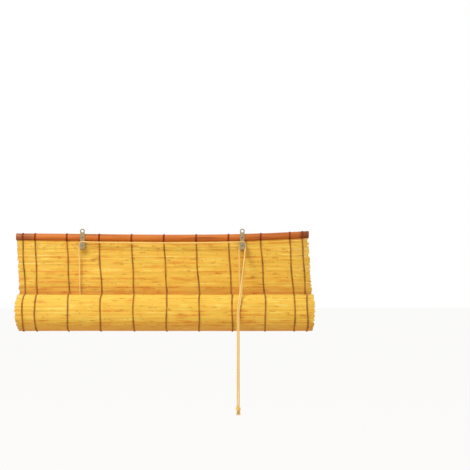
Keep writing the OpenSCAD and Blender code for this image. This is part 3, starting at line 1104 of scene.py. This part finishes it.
class BLIND_OT_warps(bpy.types.Operator):
    """Twines two threads round the reeds at each warp, on the hanging mat and on the roll"""

    bl_idname = "blind.warps"
    bl_label = "Warps"

    def execute(self, context):
        twine = thread_finish("warp_twine", settings().threads.colour)
        inside = settings().threads.radius - REED_D / 2
        first_hung = -0.5
        last_hung = HANGING_REEDS - 1.0
        turn_end = math.radians(338)
        angles = roll_reed_angles()
        last_turned = max(i for i, angle in enumerate(angles) if angle < turn_end)
        for number in range(1, WARP_COUNT + 1):
            x = warp_x(number)

            def hanging(aside, reed, out, x=x, number=number):
                drift = warp_sway(number, reed)
                return hanging_point(x + drift + aside, MAT_Y - out, hanging_z(reed))

            def rolled(aside, reed, out, x=x, number=number):
                whole = min(int(reed), len(angles) - 2)
                angle = angles[whole] + (angles[whole + 1] - angles[whole]) * (reed - whole)
                drift = warp_sway(number, HANGING_REEDS + reed)
                return rolled_point(x + drift + aside, angle, max(out, inside))

            hung = self.pair(
                f"hanging_warp_{number}", hanging, first_hung, last_hung, twine, f"warp_{number}"
            )
            hang(hung)
            wound = self.pair(
                f"rolled_warp_{number}", rolled, 0.0, last_turned, twine, f"roll_warp_{number}"
            )
            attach(wound, "lift")
        return {"FINISHED"}

    def pair(self, name, place, start, end, twine, node):
        """Both threads of a warp."""
        bm = bmesh.new()
        for thread in (0, 1):
            line = twined(place, start, end, thread)
            bent_tube(bm, line, [settings().threads.radius] * len(line), WARP_SIDES)
        return finished_piece(name, bm, twine, (node,), ROUND_SHARP)


class BLIND_OT_lashings(bpy.types.Operator):
    """Winds a lashing round the head rail over each warp"""

    bl_idname = "blind.lashings"
    bl_label = "Lashings"

    def execute(self, context):
        threads = settings().threads
        radius = threads.lashing_radius
        turn_width = radius * 1.85
        bm = bmesh.new()
        winding = self.winding(radius, threads.turns)
        for number in range(1, WARP_COUNT + 1):
            x = warp_x(number)
            line = []
            for k, (y, z) in enumerate(winding):
                along = x + turn_width * threads.turns * (k / (len(winding) - 1) - 0.5)
                line.append(Vector((along, y, z + bow_lift(along))))
            bent_tube(bm, line, [radius] * len(line), LASHING_SIDES)
        twine = thread_finish("lashing_twine", threads.lashing_colour)
        lashings = finished_piece("rail_lashings", bm, twine, (), ROUND_SHARP)
        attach(lashings, "head")
        return {"FINISHED"}

    def winding(self, radius, turns):
        """The y and z of a thread that goes round the front and the flat back of the straight rail."""
        arc_steps = 22
        flat_steps = 4
        seat = radius * 0.8
        flat_reach = 0.97
        reach = RAIL_RADIUS + seat
        places = []
        for _ in range(turns):
            for k in range(arc_steps + 1):
                angle = -math.pi / 2 + math.pi * k / arc_steps
                y = RAIL_HIGH.y - reach * math.cos(angle)
                places.append((y, RAIL_MID_Z + reach * math.sin(angle)))
            for k in range(flat_steps + 1):
                height = RAIL_RADIUS * flat_reach * (1 - 2 * k / flat_steps)
                places.append((RAIL_HIGH.y + seat, RAIL_MID_Z + height))
        return places


def dress(node, material):
    """Gives a CAD node its finish."""
    obj = frame["nodes"][node]
    obj.data.materials.clear()
    obj.data.materials.append(material)


class BLIND_OT_fittings(bpy.types.Operator):
    """Finishes the brackets, pulleys, pins and screws"""

    bl_idname = "blind.fittings"
    bl_label = "Fittings"

    def execute(self, context):
        zinc = zinc_finish()
        for node in ("left_bracket", "right_bracket"):
            dress(node, zinc)
        for node in ("left_sheave", "right_rear_sheave", "right_front_sheave"):
            dress(node, zinc)
        steel = steel_finish()
        for node in ("left_axle", "right_axle", "left_screw", "right_screw"):
            dress(node, steel)
        return {"FINISHED"}


class BlindSettings(bpy.types.PropertyGroup):
    """All settings of the blind."""

    mat: PointerProperty(type=MatSettings)
    threads: PointerProperty(type=ThreadSettings)
    cords: PointerProperty(type=CordSettings)
    wood: PointerProperty(type=WoodSettings)
    metal: PointerProperty(type=MetalSettings)
    stage: PointerProperty(type=StageSettings)


OPERATORS = (
    BLIND_OT_stage, BLIND_OT_cords, BLIND_OT_rails, BLIND_OT_hanging_mat, BLIND_OT_rolled_mat,
    BLIND_OT_warps, BLIND_OT_lashings, BLIND_OT_fittings,
)


class BLIND_PT_sidebar(bpy.types.Panel):
    """Lists the blind's operators and settings"""

    bl_label = "Bamboo roll up blind"
    bl_space_type = "VIEW_3D"
    bl_region_type = "UI"
    bl_category = "Blind"

    def draw(self, context):
        layout = self.layout
        for operator in OPERATORS:
            layout.operator(operator.bl_idname)
        groups = context.scene.blind
        for group in (groups.mat, groups.threads, groups.cords, groups.wood, groups.metal, groups.stage):
            box = layout.box()
            for name in group.__annotations__:
                box.prop(group, name)


CLASSES = (
    MatSettings, ThreadSettings, CordSettings, WoodSettings, MetalSettings, StageSettings, BlindSettings,
    *OPERATORS, BLIND_PT_sidebar,
)


def register():
    """Makes the classes and the scene's settings known."""
    for cls in CLASSES:
        bpy.utils.register_class(cls)
    bpy.types.Scene.blind = PointerProperty(type=BlindSettings)


def unregister():
    """Takes them away again."""
    del bpy.types.Scene.blind
    for cls in reversed(CLASSES):
        bpy.utils.unregister_class(cls)


def main():
    """Builds every piece in order."""
    register()
    bpy.ops.blind.stage()
    bpy.ops.blind.cords()
    bpy.ops.blind.rails()
    bpy.ops.blind.hanging_mat()
    bpy.ops.blind.rolled_mat()
    bpy.ops.blind.warps()
    bpy.ops.blind.lashings()
    bpy.ops.blind.fittings()
    boxes = {"cad": CAD_BOX, "visual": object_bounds()}
    {name: [[float(c) for c in corner] for corner in box] for name, box in boxes.items()}


if __name__ == "__main__":
    main()
